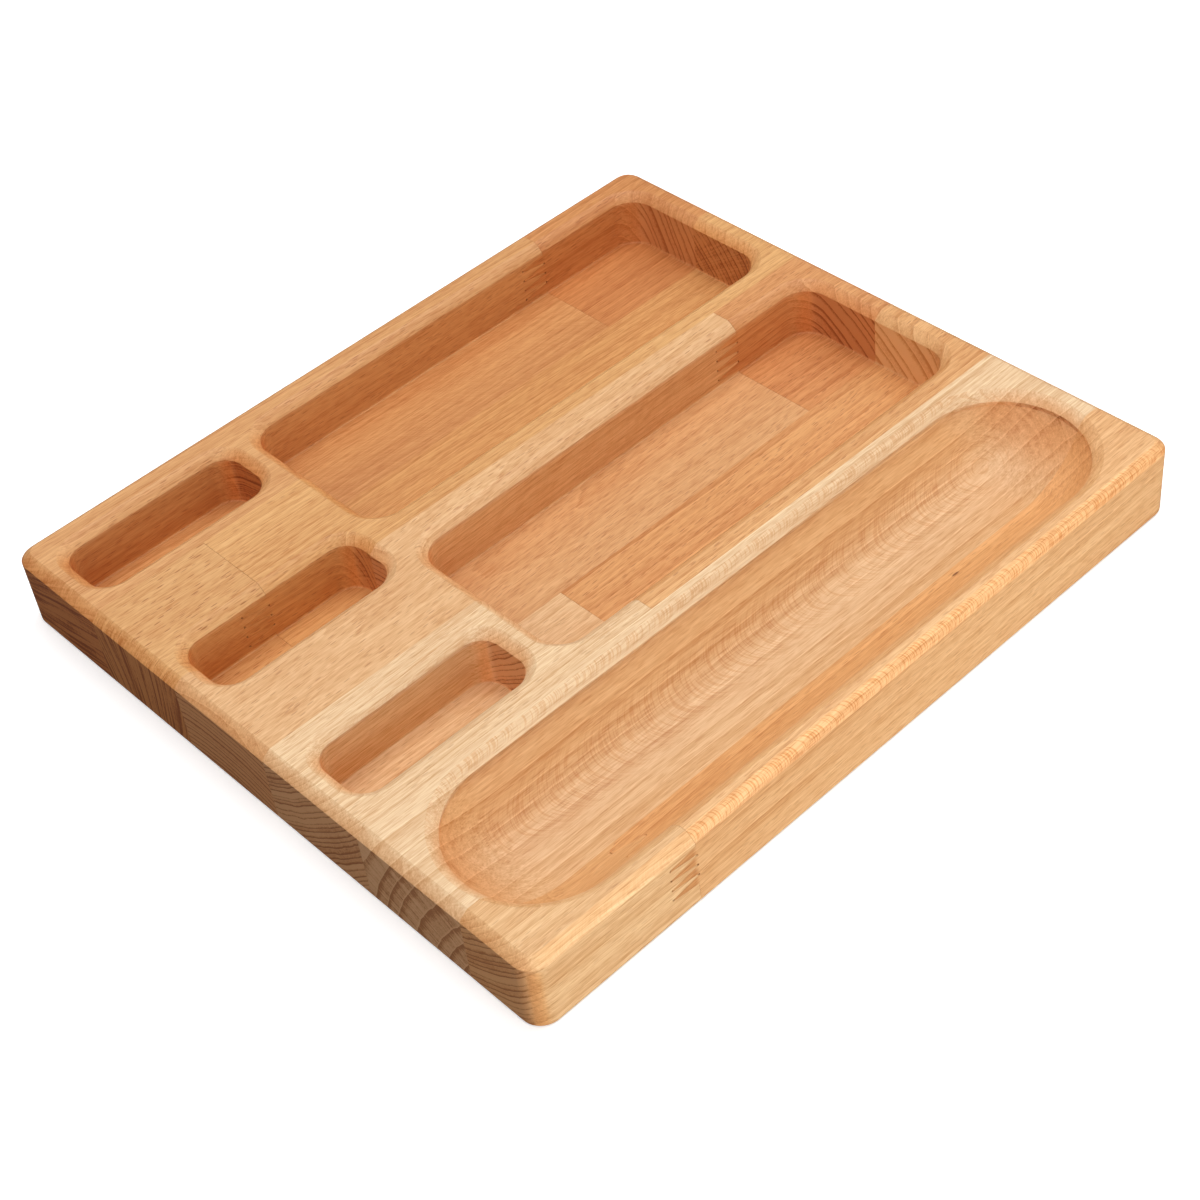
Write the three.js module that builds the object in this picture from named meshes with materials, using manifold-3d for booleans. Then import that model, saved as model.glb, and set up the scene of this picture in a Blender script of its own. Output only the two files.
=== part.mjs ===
// Wooden desk tray, milled from one edge-glued panel of solid beech.
// Millimetres, +Z up. X runs across the staves, Y along the grain to the back,
// and the origin is the middle of the underside.
// The panel is six staves side by side. All but one stave are two blocks of
// timber, end to end, held by a finger joint, so the tray is eleven blocks.

import * as THREE from 'three';
import { mergeVertices } from 'three/addons/utils/BufferGeometryUtils.js';
import Module from 'manifold-3d';

const wasm = await Module();
wasm.setup();

// Outside of the tray
const TRAY_WIDTH = 250;
const TRAY_LENGTH = 280;
const TRAY_HEIGHT = 28;
const CORNER_RADIUS = 7; // upright corners, seen from above
const BOTTOM_EASE = 0.8; // eased edge underneath

// Rounded edge of the outer top and of every hollow's rim: one cutter ran round them all
const EDGE_WIDTH = 3.6; // seen from above
const EDGE_DEPTH = 2.9;
const EDGE_BREAK = 25; // angle that shows where the round starts and ends, degrees

// Wood left standing around and between the hollows
const LEFT_RAIL = 12.5;
const RIGHT_RAIL = 9.6;
const FRONT_RAIL = 9.9;
const BACK_RAIL = 10.8;
const MIDDLE_BAR = 19.5; // between the two long pockets
const TROUGH_BAR = 15.4; // between the long pockets and the trough
const CROSS_BAR = 9.9; // between the slots and the long pockets
const FLOOR_THICKNESS = 7;

// Two long pockets, and a row of short slots in front of them
const LONG_POCKET_COUNT = 2;
const LONG_POCKET_CORNER = 10;
const SLOT_COUNT = 3;
const SLOT_WIDTH = 25.3;
const SLOT_LENGTH = 67.9;
const SLOT_CORNER = 8;

// The trough has round ends and a dished floor
const TROUGH_WIDTH = 56.8;
const TROUGH_FLOOR = 7; // wood under its deepest line
const TROUGH_WALL = 1.5; // upright wall between the lip and the dish
const TROUGH_RIM_ANGLE = 60; // steepness of the dish at its rim, degrees

// Staves, counted from the left: the last one is what is left over
const FIRST_STAVE_WIDTH = 45.5;
const STAVE_WIDTH = 44;

// Finger joint between two blocks: tapered fingers between flat shoulders
const FINGER_COUNT = 4;
const FINGER_PITCH = 4.2;
const FINGER_LENGTH = 10.1;
const FINGER_TIP = 0.6;
const FINGER_BASE = 7.4; // height of the shoulder under the fingers
const JOINT_GAP = 0.3; // play along the grain

// Where each stave's finger joint has its shoulder, along Y from the middle of the tray
const STAVE_1_JOINT = 84;
const STAVE_2_JOINT = -95.5;
const STAVE_3_JOINT = 95;
const STAVE_4_JOINT = -22.5;
const STAVE_6_JOINT = -77.7;

// Tones of beech
const STRAW = 0xe6c795;
const HONEY = 0xdcb07b;
const AMBER = 0xd99f63;
const ROSE = 0xd0a07a;

// Each stave's finger joint and the tones of its blocks. A stave with no joint is one block.
const STAVES = [
  { joint: STAVE_1_JOINT, front: HONEY, rear: ROSE },
  { joint: STAVE_2_JOINT, front: HONEY, rear: AMBER },
  { joint: STAVE_3_JOINT, front: STRAW, rear: AMBER },
  { joint: STAVE_4_JOINT, front: STRAW, rear: HONEY },
  { front: HONEY },
  { joint: STAVE_6_JOINT, front: STRAW, rear: AMBER },
];

// Smoothness of the facets, and how far a cut reaches past the wood
const CORNER_STEPS = 7;
const ROUND_STEPS = 5;
const TROUGH_END_STEPS = 14;
const DISH_STEPS = 9;
const OVERCUT = 2;

const LEFT = -TRAY_WIDTH / 2;
const RIGHT = TRAY_WIDTH / 2;
const FRONT = -TRAY_LENGTH / 2;
const BACK = TRAY_LENGTH / 2;

// Plan of the hollows: every wall follows from the rails and bars
const troughRight = RIGHT - RIGHT_RAIL;
const troughLeft = troughRight - TROUGH_WIDTH;
const pocketsLeft = LEFT + LEFT_RAIL;
const pocketsRight = troughLeft - TROUGH_BAR;
const pocketsWidth = pocketsRight - pocketsLeft;
const hollowFront = FRONT + FRONT_RAIL;
const hollowBack = BACK - BACK_RAIL;
const slotBack = hollowFront + SLOT_LENGTH;
const longPocketFront = slotBack + CROSS_BAR;
const longPocketWidth = (pocketsWidth - (LONG_POCKET_COUNT - 1) * MIDDLE_BAR) / LONG_POCKET_COUNT;
const slotPitch = (pocketsWidth - SLOT_WIDTH) / (SLOT_COUNT - 1);

// A rectangle in plan, and the same rectangle grown by a margin on every side
function plan(left, right, front, back, corner, steps) {
  return { left, right, front, back, corner, steps };
}

function grown(outline, margin) {
  return plan(
    outline.left - margin,
    outline.right + margin,
    outline.front - margin,
    outline.back + margin,
    outline.corner + margin,
    outline.steps,
  );
}

// Points round a rectangle with rounded corners at one height, anticlockwise
function ring(outline, height) {
  const halfWidth = (outline.right - outline.left) / 2;
  const halfLength = (outline.back - outline.front) / 2;
  const radius = Math.max(0, Math.min(outline.corner, halfWidth, halfLength));
  const middleX = (outline.left + outline.right) / 2;
  const middleY = (outline.front + outline.back) / 2;
  const points = [];
  for (let quarter = 0; quarter < 4; quarter++) {
    const sideX = quarter === 0 || quarter === 3 ? 1 : -1;
    const sideY = quarter < 2 ? 1 : -1;
    const centreX = middleX + sideX * (halfWidth - radius);
    const centreY = middleY + sideY * (halfLength - radius);
    for (let step = 0; step <= outline.steps; step++) {
      const angle = (quarter + step / outline.steps) * (Math.PI / 2);
      const x = centreX + radius * Math.cos(angle);
      const y = centreY + radius * Math.sin(angle);
      points.push(new THREE.Vector3(x, y, height));
    }
  }
  return points;
}

// A closed skin over a stack of rings, from the lowest to the highest
function loft(rings) {
  const count = rings[0].length;
  const last = (rings.length - 1) * count;
  const index = [];
  for (let level = 0; level < rings.length - 1; level++) {
    for (let i = 0; i < count; i++) {
      const a = level * count + i;
      const b = level * count + ((i + 1) % count);
      index.push(a, b, b + count);
      index.push(a, b + count, a + count);
    }
  }
  for (let i = 1; i < count - 1; i++) {
    index.push(0, i + 1, i);
    index.push(last, last + i, last + i + 1);
  }
  const geometry = new THREE.BufferGeometry().setFromPoints(rings.flat());
  geometry.setIndex(index);
  return geometry;
}

// A closed skin as a solid that can be cut
function solid(geometry) {
  const bare = geometry.clone();
  bare.deleteAttribute('normal');
  bare.deleteAttribute('uv');
  const merged = mergeVertices(bare);
  const corners = merged.index.array;
  const triangles = [];
  for (let i = 0; i < corners.length; i += 3) {
    const [a, b, c] = corners.slice(i, i + 3);
    if (a !== b && b !== c && c !== a) triangles.push(a, b, c);
  }
  const mesh = new wasm.Mesh({
    numProp: 3,
    vertProperties: new Float32Array(merged.attributes.position.array),
    triVerts: new Uint32Array(triangles),
  });
  return new wasm.Manifold(mesh);
}

// Steps of a rounded edge: how far in from the side, and how far up
function edgeSteps() {
  const start = THREE.MathUtils.degToRad(EDGE_BREAK);
  const turn = Math.PI / 2 - 2 * start;
  const span = Math.cos(start) - Math.sin(start);
  const steps = [];
  for (let step = 1; step <= ROUND_STEPS; step++) {
    const angle = start + (step / ROUND_STEPS) * turn;
    const across = (EDGE_WIDTH * (Math.cos(start) - Math.cos(angle))) / span;
    const up = (EDGE_DEPTH * (Math.sin(angle) - Math.sin(start))) / span;
    steps.push({ across, up });
  }
  return steps;
}

// The panel cut to size, with its outer edges rounded
function blank() {
  const side = plan(LEFT, RIGHT, FRONT, BACK, CORNER_RADIUS, CORNER_STEPS);
  const rings = [ring(grown(side, -BOTTOM_EASE), 0), ring(side, BOTTOM_EASE)];
  const shoulder = TRAY_HEIGHT - EDGE_DEPTH;
  rings.push(ring(side, shoulder));
  for (const { across, up } of edgeSteps()) {
    rings.push(ring(grown(side, -across), shoulder + up));
  }
  return solid(loft(rings));
}

// Rings of a hollow's rim: the wall flares out into a rounded lip
function rimRings(wall) {
  const shoulder = TRAY_HEIGHT - EDGE_DEPTH;
  const rings = [ring(wall, shoulder)];
  for (const { across, up } of edgeSteps()) {
    rings.push(ring(grown(wall, across), shoulder + up));
  }
  rings.push(ring(grown(wall, EDGE_WIDTH), TRAY_HEIGHT + OVERCUT));
  return rings;
}

// A hollow with upright walls and a flat floor
function pocket(wall) {
  return solid(loft([ring(wall, FLOOR_THICKNESS), ...rimRings(wall)]));
}

// The trough: its floor is an arc across, carried round both ends
function trough() {
  const reach = TROUGH_WIDTH / 2;
  const wall = plan(troughLeft, troughRight, hollowFront, hollowBack, reach, TROUGH_END_STEPS);
  const rim = THREE.MathUtils.degToRad(TROUGH_RIM_ANGLE);
  const depth = TRAY_HEIGHT - EDGE_DEPTH - TROUGH_WALL - TROUGH_FLOOR;
  const rings = [];
  for (let step = 0; step <= DISH_STEPS; step++) {
    const angle = (step / DISH_STEPS) * rim;
    const across = (reach * Math.sin(angle)) / Math.sin(rim);
    const up = (depth * (1 - Math.cos(angle))) / (1 - Math.cos(rim));
    rings.push(ring(grown(wall, across - reach), TROUGH_FLOOR + up));
  }
  return solid(loft([...rings, ...rimRings(wall)]));
}

// The whole tray as milled, before it is told apart into blocks
function milledPanel() {
  let tray = blank();
  for (let i = 0; i < LONG_POCKET_COUNT; i++) {
    const left = pocketsLeft + i * (longPocketWidth + MIDDLE_BAR);
    const right = left + longPocketWidth;
    const wall = plan(left, right, longPocketFront, hollowBack, LONG_POCKET_CORNER, CORNER_STEPS);
    tray = tray.subtract(pocket(wall));
  }
  for (let i = 0; i < SLOT_COUNT; i++) {
    const left = pocketsLeft + i * slotPitch;
    const right = left + SLOT_WIDTH;
    const wall = plan(left, right, hollowFront, slotBack, SLOT_CORNER, CORNER_STEPS);
    tray = tray.subtract(pocket(wall));
  }
  return tray.subtract(trough());
}

// Side view of a finger joint as (y, z) points, from below the tray to above it
function fingerLine(shoulder) {
  const root = shoulder - FINGER_LENGTH;
  const flat = FINGER_TIP / 2;
  const points = [new THREE.Vector2(shoulder, -OVERCUT)];
  for (let finger = 0; finger < FINGER_COUNT; finger++) {
    const low = FINGER_BASE + finger * FINGER_PITCH;
    const middle = low + FINGER_PITCH / 2;
    const high = low + FINGER_PITCH;
    points.push(new THREE.Vector2(shoulder, low + flat));
    points.push(new THREE.Vector2(root, middle - flat));
    points.push(new THREE.Vector2(root, middle + flat));
    points.push(new THREE.Vector2(shoulder, high - flat));
  }
  points.push(new THREE.Vector2(shoulder, TRAY_HEIGHT + OVERCUT));
  return points;
}

// Side view of a plain sawn end, clear of the tray
function sawnLine(y) {
  return [new THREE.Vector2(y, -OVERCUT), new THREE.Vector2(y, TRAY_HEIGHT + OVERCUT)];
}

// The space of one block: its side view, drawn across the width of its stave
function blockSpace(left, right, frontLine, rearLine) {
  const outline = new THREE.Shape([...frontLine, ...rearLine.toReversed()]);
  const geometry = new THREE.ExtrudeGeometry(outline, { depth: right - left, bevelEnabled: false });
  const alongY = new THREE.Vector3(0, 1, 0);
  const alongZ = new THREE.Vector3(0, 0, 1);
  const alongX = new THREE.Vector3(1, 0, 0);
  geometry.applyMatrix4(new THREE.Matrix4().makeBasis(alongY, alongZ, alongX));
  geometry.translate(left, 0, 0);
  return solid(geometry);
}

// A named block of timber in its tone
function block(name, wood, tone) {
  const { vertProperties, triVerts } = wood.getMesh();
  const geometry = new THREE.BufferGeometry();
  geometry.setAttribute('position', new THREE.BufferAttribute(vertProperties, 3));
  geometry.setIndex(new THREE.BufferAttribute(triVerts, 1));
  const material = new THREE.MeshStandardMaterial({
    color: tone,
    roughness: 0.55,
    metalness: 0,
    flatShading: true,
  });
  const mesh = new THREE.Mesh(geometry, material);
  mesh.name = name;
  return mesh;
}

// Left and right side of every stave: glue lines inside, past the wood outside
function staveSides() {
  const count = 1 + Math.max(1, Math.round((TRAY_WIDTH - FIRST_STAVE_WIDTH) / STAVE_WIDTH));
  const firstGlueLine = LEFT + FIRST_STAVE_WIDTH;
  const sides = [];
  for (let i = 0; i < count; i++) {
    const left = i === 0 ? LEFT - OVERCUT : firstGlueLine + (i - 1) * STAVE_WIDTH;
    const right = i === count - 1 ? RIGHT + OVERCUT : firstGlueLine + i * STAVE_WIDTH;
    sides.push({ left, right });
  }
  return sides;
}

const panel = milledPanel();
const tray = new THREE.Group();
tray.name = 'wooden_tray';

staveSides().forEach(({ left, right }, i) => {
  const { joint, front, rear } = STAVES[i % STAVES.length];
  const name = `stave_${i + 1}`;
  const frontEnd = sawnLine(FRONT - OVERCUT);
  const backEnd = sawnLine(BACK + OVERCUT);
  if (joint === undefined) {
    const space = blockSpace(left, right, frontEnd, backEnd);
    tray.add(block(name, panel.intersect(space), front));
    return;
  }
  const frontSpace = blockSpace(left, right, frontEnd, fingerLine(joint - JOINT_GAP / 2));
  const rearSpace = blockSpace(left, right, fingerLine(joint + JOINT_GAP / 2), backEnd);
  tray.add(block(`${name}_front`, panel.intersect(frontSpace), front));
  tray.add(block(`${name}_rear`, panel.intersect(rearSpace), rear));
});

export default tray;
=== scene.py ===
# %% [markdown]
# # A beech desk tray
#
# The tray is milled from one panel of solid beech. The panel is six staves, glued
# side by side, and five of the staves are two blocks of timber joined end to end
# with interlocking fingers. Each block was sawn from another part of a tree, so
# each has its own tone and its own direction of grain. That is what the eye reads
# as real wood, so this lesson builds the tray the way a workshop does: shape a
# blank, mill the hollows, tell the blocks apart, and give each block its timber.

# %% [markdown]
# ## The imported frame
#
# The construction model comes first. It says where every block lies, in metres,
# with the origin in the middle of the underside, X across the staves and Y along
# the grain. Its outer box is kept, to set beside the box of the finished blocks at the end.

# %% Load the frame
import math

import bmesh
import bpy
from mathutils import Color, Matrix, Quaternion, Vector


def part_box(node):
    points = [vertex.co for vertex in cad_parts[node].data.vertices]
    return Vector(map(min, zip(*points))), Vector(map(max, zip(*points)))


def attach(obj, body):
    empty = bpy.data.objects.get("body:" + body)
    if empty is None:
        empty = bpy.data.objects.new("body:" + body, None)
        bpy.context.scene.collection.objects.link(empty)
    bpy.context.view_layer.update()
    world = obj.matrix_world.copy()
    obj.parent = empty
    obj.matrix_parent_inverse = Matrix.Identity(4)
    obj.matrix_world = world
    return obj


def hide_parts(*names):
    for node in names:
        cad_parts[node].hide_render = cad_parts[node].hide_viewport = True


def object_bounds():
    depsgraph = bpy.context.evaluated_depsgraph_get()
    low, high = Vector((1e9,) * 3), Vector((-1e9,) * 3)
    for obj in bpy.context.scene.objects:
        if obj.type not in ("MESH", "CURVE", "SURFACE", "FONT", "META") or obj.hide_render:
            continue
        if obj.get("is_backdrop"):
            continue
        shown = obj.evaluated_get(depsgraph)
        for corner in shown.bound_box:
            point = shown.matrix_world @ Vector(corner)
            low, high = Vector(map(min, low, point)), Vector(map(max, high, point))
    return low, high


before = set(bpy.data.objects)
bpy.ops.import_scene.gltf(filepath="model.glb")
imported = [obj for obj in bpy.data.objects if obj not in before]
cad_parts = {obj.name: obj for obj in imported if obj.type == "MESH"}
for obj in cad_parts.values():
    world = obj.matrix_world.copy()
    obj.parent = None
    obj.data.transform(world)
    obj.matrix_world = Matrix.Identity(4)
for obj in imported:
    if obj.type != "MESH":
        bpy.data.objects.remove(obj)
cad_low, cad_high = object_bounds()
MM = 0.001
print("blocks in the frame:", len(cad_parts))
print("size in mm:", [round(side / MM, 1) for side in cad_high - cad_low])

# %% [markdown]
# ## The camera
#
# The photograph looks down on the right front corner with a long lens, and it is
# turned a little, so that the tray seems to tip towards us. A camera can be set by
# typing a place and three angles, but an aim point, a distance and the angles of
# the view say more, and each of them can be changed alone.

# %% Place the camera
AIM = Vector((26.3, -21.2, 14.0)) * MM
DISTANCE = 720.2 * MM
AZIMUTH = math.radians(51.58)
ELEVATION = math.radians(43.94)
ROLL = math.radians(-7.73)
LENS = 68.75

towards_camera = Vector((
    math.sin(AZIMUTH) * math.cos(ELEVATION),
    -math.cos(AZIMUTH) * math.cos(ELEVATION),
    math.sin(ELEVATION),
))
turn = towards_camera.to_track_quat("Z", "Y") @ Quaternion((0, 0, 1), ROLL)
bpy.ops.object.select_all(action="DESELECT")
bpy.ops.object.camera_add(location=AIM + towards_camera * DISTANCE, rotation=turn.to_euler())
camera = bpy.context.object
camera.data.lens = LENS
bpy.context.scene.camera = camera
print("camera at", [round(c, 3) for c in camera.location])

# %% [markdown]
# ## Working by hand, from a script
#
# Modelling by hand is a rhythm: take a piece, pick some of its edges or faces, and
# use a tool on them. A script has no mouse, so it picks by rule instead, such as
# all edges that stand upright. These helpers are that rhythm in words.

# %% Helpers for picking and cutting
TINY = 1e-6
NEARLY_ONE = 0.999
QUARTER_ROUND = 0.5


def take(piece):
    bpy.ops.object.select_all(action="DESELECT")
    piece.select_set(True)
    bpy.context.view_layer.objects.active = piece


def box(name, low, high):
    bpy.ops.object.select_all(action="DESELECT")
    low, high = Vector(low), Vector(high)
    bpy.ops.mesh.primitive_cube_add(size=1, location=(low + high) / 2, scale=high - low)
    bpy.ops.object.transform_apply(location=True, rotation=True, scale=True)
    bpy.context.object.name = name
    return bpy.context.object


def pick(piece, kind, rule):
    take(piece)
    bpy.ops.object.mode_set(mode="EDIT")
    bpy.ops.mesh.select_mode(type=kind)
    bpy.ops.mesh.select_all(action="DESELECT")
    mesh = bmesh.from_edit_mesh(piece.data)
    parts = {"VERT": mesh.verts, "EDGE": mesh.edges, "FACE": mesh.faces}[kind]
    for part in parts:
        if rule(part):
            part.select_set(True)
    mesh.select_flush_mode()
    bmesh.update_edit_mesh(piece.data)


def done():
    bpy.ops.object.mode_set(mode="OBJECT")


def is_upright(edge):
    a, b = edge.verts
    return abs((b.co - a.co).normalized().z) > NEARLY_ONE


def lies_at(height):
    return lambda edge: all(abs(vertex.co.z - height) < TINY for vertex in edge.verts)


def round_edges(piece, rule, radius, steps, profile=QUARTER_ROUND):
    pick(piece, "EDGE", rule)
    bpy.ops.mesh.bevel(
        offset=radius, segments=steps, profile=profile, affect="EDGES", clamp_overlap=False
    )
    done()


def combine(piece, tool, operation):
    take(piece)
    step = piece.modifiers.new("combine", "BOOLEAN")
    step.object = tool
    step.operation = operation
    step.solver = "EXACT"
    bpy.ops.object.modifier_apply(modifier=step.name)
    bpy.data.objects.remove(tool)


def clean(piece):
    take(piece)
    bpy.ops.object.mode_set(mode="EDIT")
    bpy.ops.mesh.select_all(action="SELECT")
    bpy.ops.mesh.remove_doubles(threshold=TINY)
    bpy.ops.mesh.normals_make_consistent(inside=False)
    done()


def faces_of(piece):
    return f"{piece.name}: {len(piece.data.polygons)} faces"


print("modelling helpers are ready")

# %% [markdown]
# ## The blank
#
# A glued panel is planed and sawn to size, its corners are rounded, and a router
# runs along the top edge. Underneath, the edge is only eased. In Blender that is a
# cube at the panel's size and three bevels: the four upright edges first, because the
# top bevel then runs round them in one go.
#
# The router's bit is not sunk to its full depth, so its round meets the top and the
# side at a slight angle, and a crisp line shows on both. A bevel's profile sets that:
# 0.5 would be a full quarter round and 0.25 a flat chamfer. The round is also wider
# than it is deep, so it is pressed together from below once the bevel is made.

# %% Shape the blank
CORNER_RADIUS = 7 * MM
CORNER_STEPS = 14
EDGE_WIDTH = 3.6 * MM
EDGE_DEPTH = 2.9 * MM
EDGE_BREAK = math.radians(32)
EDGE_STEPS = 8
BOTTOM_EASE = 0.8 * MM
BOTTOM_STEPS = 7
TOP = cad_high.z

edge_span = math.cos(EDGE_BREAK) - math.sin(EDGE_BREAK)
EDGE_PROFILE = ((math.sin(math.pi / 4) - math.sin(EDGE_BREAK)) / edge_span) ** 2


def press_round(piece):
    pick(piece, "VERT", lambda vertex: TOP - EDGE_WIDTH - TINY < vertex.co.z < TOP + TINY)
    bpy.ops.transform.resize(value=(1, 1, EDGE_DEPTH / EDGE_WIDTH), center_override=(0, 0, TOP))
    done()


board = box("board", cad_low, cad_high)
round_edges(board, is_upright, CORNER_RADIUS, CORNER_STEPS)
round_edges(board, lies_at(TOP), EDGE_WIDTH, EDGE_STEPS, EDGE_PROFILE)
press_round(board)
round_edges(board, lies_at(cad_low.z), BOTTOM_EASE, BOTTOM_STEPS)
print(faces_of(board), "with an edge profile of", round(EDGE_PROFILE, 2))

# %% [markdown]
# ## Plan of the hollows
#
# Two long pockets lie side by side, three short slots lie in front of them, and one
# long trough runs down the right. A joiner marks the rails and bars that stay, and
# the hollows are what is left between them, so the plan is worked out in that order.

# %% Mark out the hollows
LEFT_RAIL = 12.5 * MM
RIGHT_RAIL = 9.6 * MM
FRONT_RAIL = 9.9 * MM
BACK_RAIL = 10.8 * MM
MIDDLE_BAR = 19.5 * MM
TROUGH_BAR = 15.4 * MM
CROSS_BAR = 9.9 * MM
SLOT_WIDTH = 25.3 * MM
SLOT_LENGTH = 67.9 * MM
TROUGH_WIDTH = 56.8 * MM
FLOOR = 7 * MM
POCKET_COUNT = 2
SLOT_COUNT = 3

hollow_front = cad_low.y + FRONT_RAIL
hollow_back = cad_high.y - BACK_RAIL
trough_right = cad_high.x - RIGHT_RAIL
trough_left = trough_right - TROUGH_WIDTH
pockets_left = cad_low.x + LEFT_RAIL
pockets_right = trough_left - TROUGH_BAR
pockets_span = pockets_right - pockets_left
pocket_width = (pockets_span - MIDDLE_BAR * (POCKET_COUNT - 1)) / POCKET_COUNT
slot_back = hollow_front + SLOT_LENGTH
pocket_front = slot_back + CROSS_BAR
slot_pitch = (pockets_span - SLOT_WIDTH) / (SLOT_COUNT - 1)
print("a long pocket is", round(pocket_width / MM, 1), "mm wide")

# %% [markdown]
# ## Tools for the pockets and slots
#
# A straight bit leaves an upright wall, the router rounds its rim like the outer edge,
# and the bit's worn corner leaves a hair of a cove at the floor. One could cut the holes
# into the board's own faces, but five holes would leave it full of odd edges. It is
# cleaner to model the space that the bit sweeps and to subtract it. The rim needs a
# flare: the tool gets a collar above the board, and the inner corner under that collar
# is bevelled, which fills it with the curve that the lip will have.

# %% Model one tool for each pocket and slot
COVE = 0.7 * MM
COVE_STEPS = 7
COLLAR = 4 * MM
POCKET_CORNER = 10 * MM
SLOT_CORNER = 8 * MM
WALL_STEPS = 12


def pocket_tool(name, left, right, front, back, corner):
    tool = box(name, (left, front, FLOOR), (right, back, TOP))
    round_edges(tool, is_upright, corner, WALL_STEPS)
    round_edges(tool, lies_at(FLOOR), COVE, COVE_STEPS)
    pick(tool, "FACE", lambda face: face.normal.z > NEARLY_ONE)
    bpy.ops.mesh.extrude_region_move(TRANSFORM_OT_translate={"value": (0, 0, COLLAR)})
    done()
    pick(tool, "FACE", lambda face: face.calc_center_median().z > TOP and face.normal.z < NEARLY_ONE)
    bpy.ops.mesh.extrude_region_shrink_fatten(
        TRANSFORM_OT_shrink_fatten={"value": EDGE_WIDTH, "use_even_offset": True}
    )
    done()

    def is_under_collar(edge):
        meets_wall = any(face.calc_center_median().z < TOP - TINY for face in edge.link_faces)
        return lies_at(TOP)(edge) and meets_wall

    round_edges(tool, is_under_collar, EDGE_WIDTH, EDGE_STEPS, EDGE_PROFILE)
    press_round(tool)
    clean(tool)
    return tool


tools = []
for i in range(POCKET_COUNT):
    left = pockets_left + i * (pocket_width + MIDDLE_BAR)
    right = left + pocket_width
    tools.append(pocket_tool(f"pocket_{i}", left, right, pocket_front, hollow_back, POCKET_CORNER))
for i in range(SLOT_COUNT):
    left = pockets_left + i * slot_pitch
    right = left + SLOT_WIDTH
    tools.append(pocket_tool(f"slot_{i}", left, right, hollow_front, slot_back, SLOT_CORNER))
for tool in tools:
    print(faces_of(tool))

# %% [markdown]
# ## The tool for the trough
#
# The trough is a dish: its floor is an arc across, carried round both ends, so pens
# roll to the middle and a finger can sweep them up. A sphere squeezed long would
# taper all the way; the real one is straight between two round ends. So half of the
# profile is drawn as a chain of edges, spun through half a turn for one end, pulled
# straight to the middle of the trough, and mirrored for the other half.

# %% Draw half of the dish's arc
DISH_RIM = math.radians(60)
DISH_POINTS = 144
WALL = 1.5 * MM

reach = TROUGH_WIDTH / 2
rim_height = TOP - EDGE_DEPTH - WALL
dish_radius = (rim_height - FLOOR) / (1 - math.cos(DISH_RIM))
dish_middle = FLOOR + dish_radius
half_straight = (hollow_back - hollow_front) / 2 - reach

bpy.ops.object.select_all(action="DESELECT")
bpy.ops.mesh.primitive_circle_add(
    vertices=DISH_POINTS,
    radius=dish_radius,
    location=(0, half_straight, dish_middle),
    rotation=(math.pi / 2, 0, 0),
)
bpy.ops.object.transform_apply(location=True, rotation=True, scale=True)
trough = bpy.context.object
trough.name = "trough"
pick(trough, "VERT", lambda vertex: vertex.co.x < -TINY or vertex.co.z > rim_height + TINY)
bpy.ops.mesh.delete(type="VERT")
bpy.ops.mesh.select_all(action="SELECT")
squeeze = reach / (dish_radius * math.sin(DISH_RIM))
bpy.ops.transform.resize(value=(squeeze, 1, 1), center_override=(0, 0, 0))
done()
print("the dish has a radius of", round(dish_radius / MM, 1), "mm")

# %% [markdown]
# The rim is drawn by pulling the last point of the chain: up for the wall, round for
# the lip, up past the board, and back to the axis. The lip turns a quarter less the
# angle at both of its ends, about a point inside the wood, and is pressed like the rest.

# %% Draw the rim and spin one end
END_STEPS = 64

lip_turn = math.pi / 2 - 2 * EDGE_BREAK
lip_radius = EDGE_WIDTH / edge_span
lip_foot = TOP - EDGE_WIDTH
lip_middle = Vector((
    reach + lip_radius * math.cos(EDGE_BREAK),
    half_straight,
    lip_foot - lip_radius * math.sin(EDGE_BREAK),
))
outermost = max(vertex.co.x for vertex in trough.data.vertices)
pick(trough, "VERT", lambda vertex: vertex.co.x > outermost - TINY)
bpy.ops.mesh.extrude_vertices_move(TRANSFORM_OT_translate={"value": (0, 0, lip_foot - rim_height)})
bpy.ops.mesh.spin(steps=EDGE_STEPS, angle=-lip_turn, center=lip_middle, axis=(0, 1, 0))
bpy.ops.mesh.extrude_vertices_move(TRANSFORM_OT_translate={"value": (0, 0, COLLAR)})
bpy.ops.mesh.extrude_vertices_move(TRANSFORM_OT_translate={"value": (-reach - EDGE_WIDTH, 0, 0)})
bpy.ops.mesh.select_all(action="SELECT")
bpy.ops.mesh.spin(steps=END_STEPS, angle=-math.pi, center=(0, half_straight, 0), axis=(0, 0, 1))
done()
press_round(trough)
clean(trough)
print(faces_of(trough), "after the spin")

# %% Pull it straight, mirror it and put it in place
pick(trough, "EDGE", lambda edge: edge.is_boundary)
bpy.ops.mesh.extrude_region_move(TRANSFORM_OT_translate={"value": (0, -half_straight, 0)})
done()
mirror = trough.modifiers.new("other half", "MIRROR")
mirror.use_axis = (False, True, False)
mirror.merge_threshold = TINY
bpy.ops.object.modifier_apply(modifier=mirror.name)
trough.location = ((trough_left + trough_right) / 2, (hollow_front + hollow_back) / 2, 0)
bpy.ops.object.transform_apply(location=True, rotation=True, scale=True)
clean(trough)
tools.append(trough)
print(faces_of(trough), "in all")

# %% [markdown]
# ## Milling
#
# Each tool is subtracted from the board, one after another, as the mill works.

# %% Mill the hollows
for tool in tools:
    combine(board, tool, "DIFFERENCE")
clean(board)
print(faces_of(board), "after milling")

# %% [markdown]
# ## Ripping the staves
#
# The glue lines are planes along the grain. Cutting a copy of the milled board at
# two of them leaves one stave, and the cut faces are filled, so every stave is a
# closed solid. The frame says where the lines are: each stave starts where its front
# block starts.

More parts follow.
